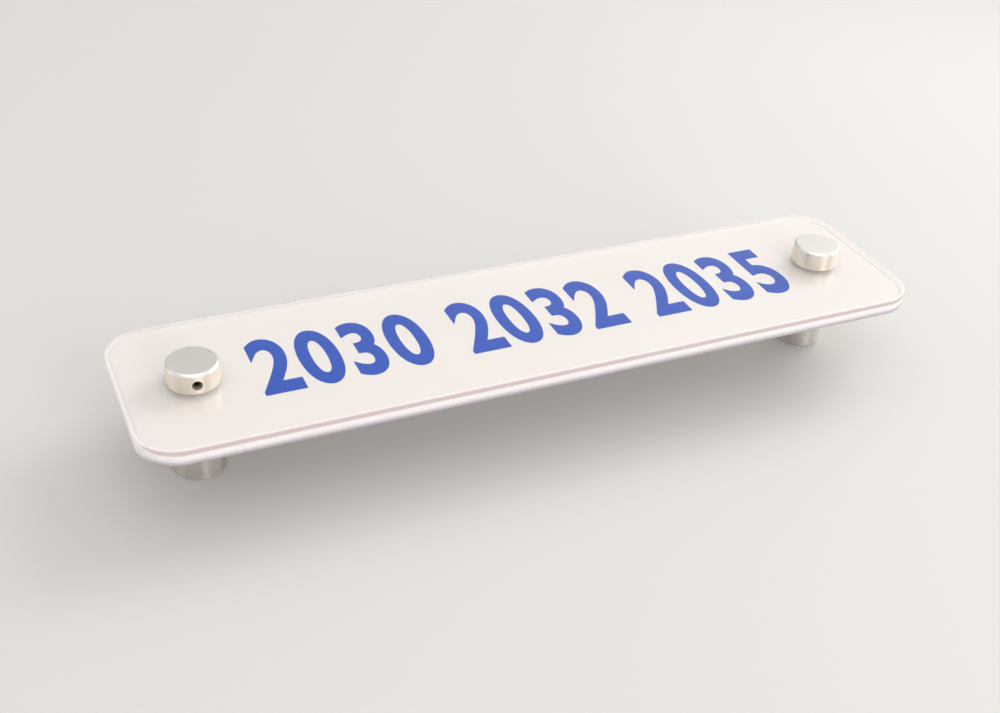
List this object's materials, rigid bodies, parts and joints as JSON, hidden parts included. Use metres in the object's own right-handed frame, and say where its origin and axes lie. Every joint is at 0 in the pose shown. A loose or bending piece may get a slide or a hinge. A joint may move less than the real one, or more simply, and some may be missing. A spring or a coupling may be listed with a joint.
{
  "type": "door sign",
  "caption": "Slim stand-off door sign: two clear plates with rounded corners clamp a white card on satin metal barrels with screw-on caps.",
  "frame": {"origin": "centre of the sign on the plane that its two barrels stand on (the wall side)", "axes": "+X along the sign's length, towards the right-hand fixing; +Y across its width; +Z out of its face, away from the wall"},
  "size_m": [0.25, 0.06, 0.0365],
  "materials": {
    "clear_acrylic": "clear, polished edges",
    "white_card": "silver white, matt",
    "satin_aluminium": "turned, satin anodised",
    "steel": "plain zinc",
    "dark_steel": "black oxide",
    "washer_plastic": "translucent"
  },
  "bodies": {
    "sign": {"back_plate": "clear_acrylic", "card": "white_card", "front_plate": "clear_acrylic", "left_barrel": "satin_aluminium", "left_stud": "steel", "left_back_washer": "washer_plastic", "right_barrel": "satin_aluminium", "right_stud": "steel", "right_back_washer": "washer_plastic"},
    "left_lift": {"left_front_washer": "washer_plastic"},
    "left_cap": {"left_cap": "satin_aluminium"},
    "left_set_screw": {"left_set_screw": "dark_steel"},
    "right_lift": {"right_front_washer": "washer_plastic"},
    "right_cap": {"right_cap": "satin_aluminium"},
    "right_set_screw": {"right_set_screw": "dark_steel"}
  },
  "joints": [
    {"name": "left_cap_lift", "type": "slide", "parent": "sign", "child": "left_lift", "axis": [0, 0, 1], "range_m": [0, 0.003]},
    {"name": "left_cap_turn", "type": "hinge", "parent": "left_lift", "child": "left_cap", "pos_m": [-0.1045, 0, 0.0303], "axis": [0, 0, 1], "range_deg": [0, 1080]},
    {"name": "left_set_screw_out", "type": "slide", "parent": "left_cap", "child": "left_set_screw", "axis": [-0.0698, -0.9976, 0], "range_m": [0, 0.0012]},
    {"name": "right_cap_lift", "type": "slide", "parent": "sign", "child": "right_lift", "axis": [0, 0, 1], "range_m": [0, 0.003]},
    {"name": "right_cap_turn", "type": "hinge", "parent": "right_lift", "child": "right_cap", "pos_m": [0.1045, 0, 0.0303], "axis": [0, 0, 1], "range_deg": [0, 1080]},
    {"name": "right_set_screw_out", "type": "slide", "parent": "right_cap", "child": "right_set_screw", "axis": [0.6691, 0.7431, 0], "range_m": [0, 0.0012]}
  ],
  "couplings": [
    {"joint": "left_cap_lift", "follows": "left_cap_turn", "m_per_rad": 0.00015915},
    {"joint": "right_cap_lift", "follows": "right_cap_turn", "m_per_rad": 0.00015915}
  ]
}
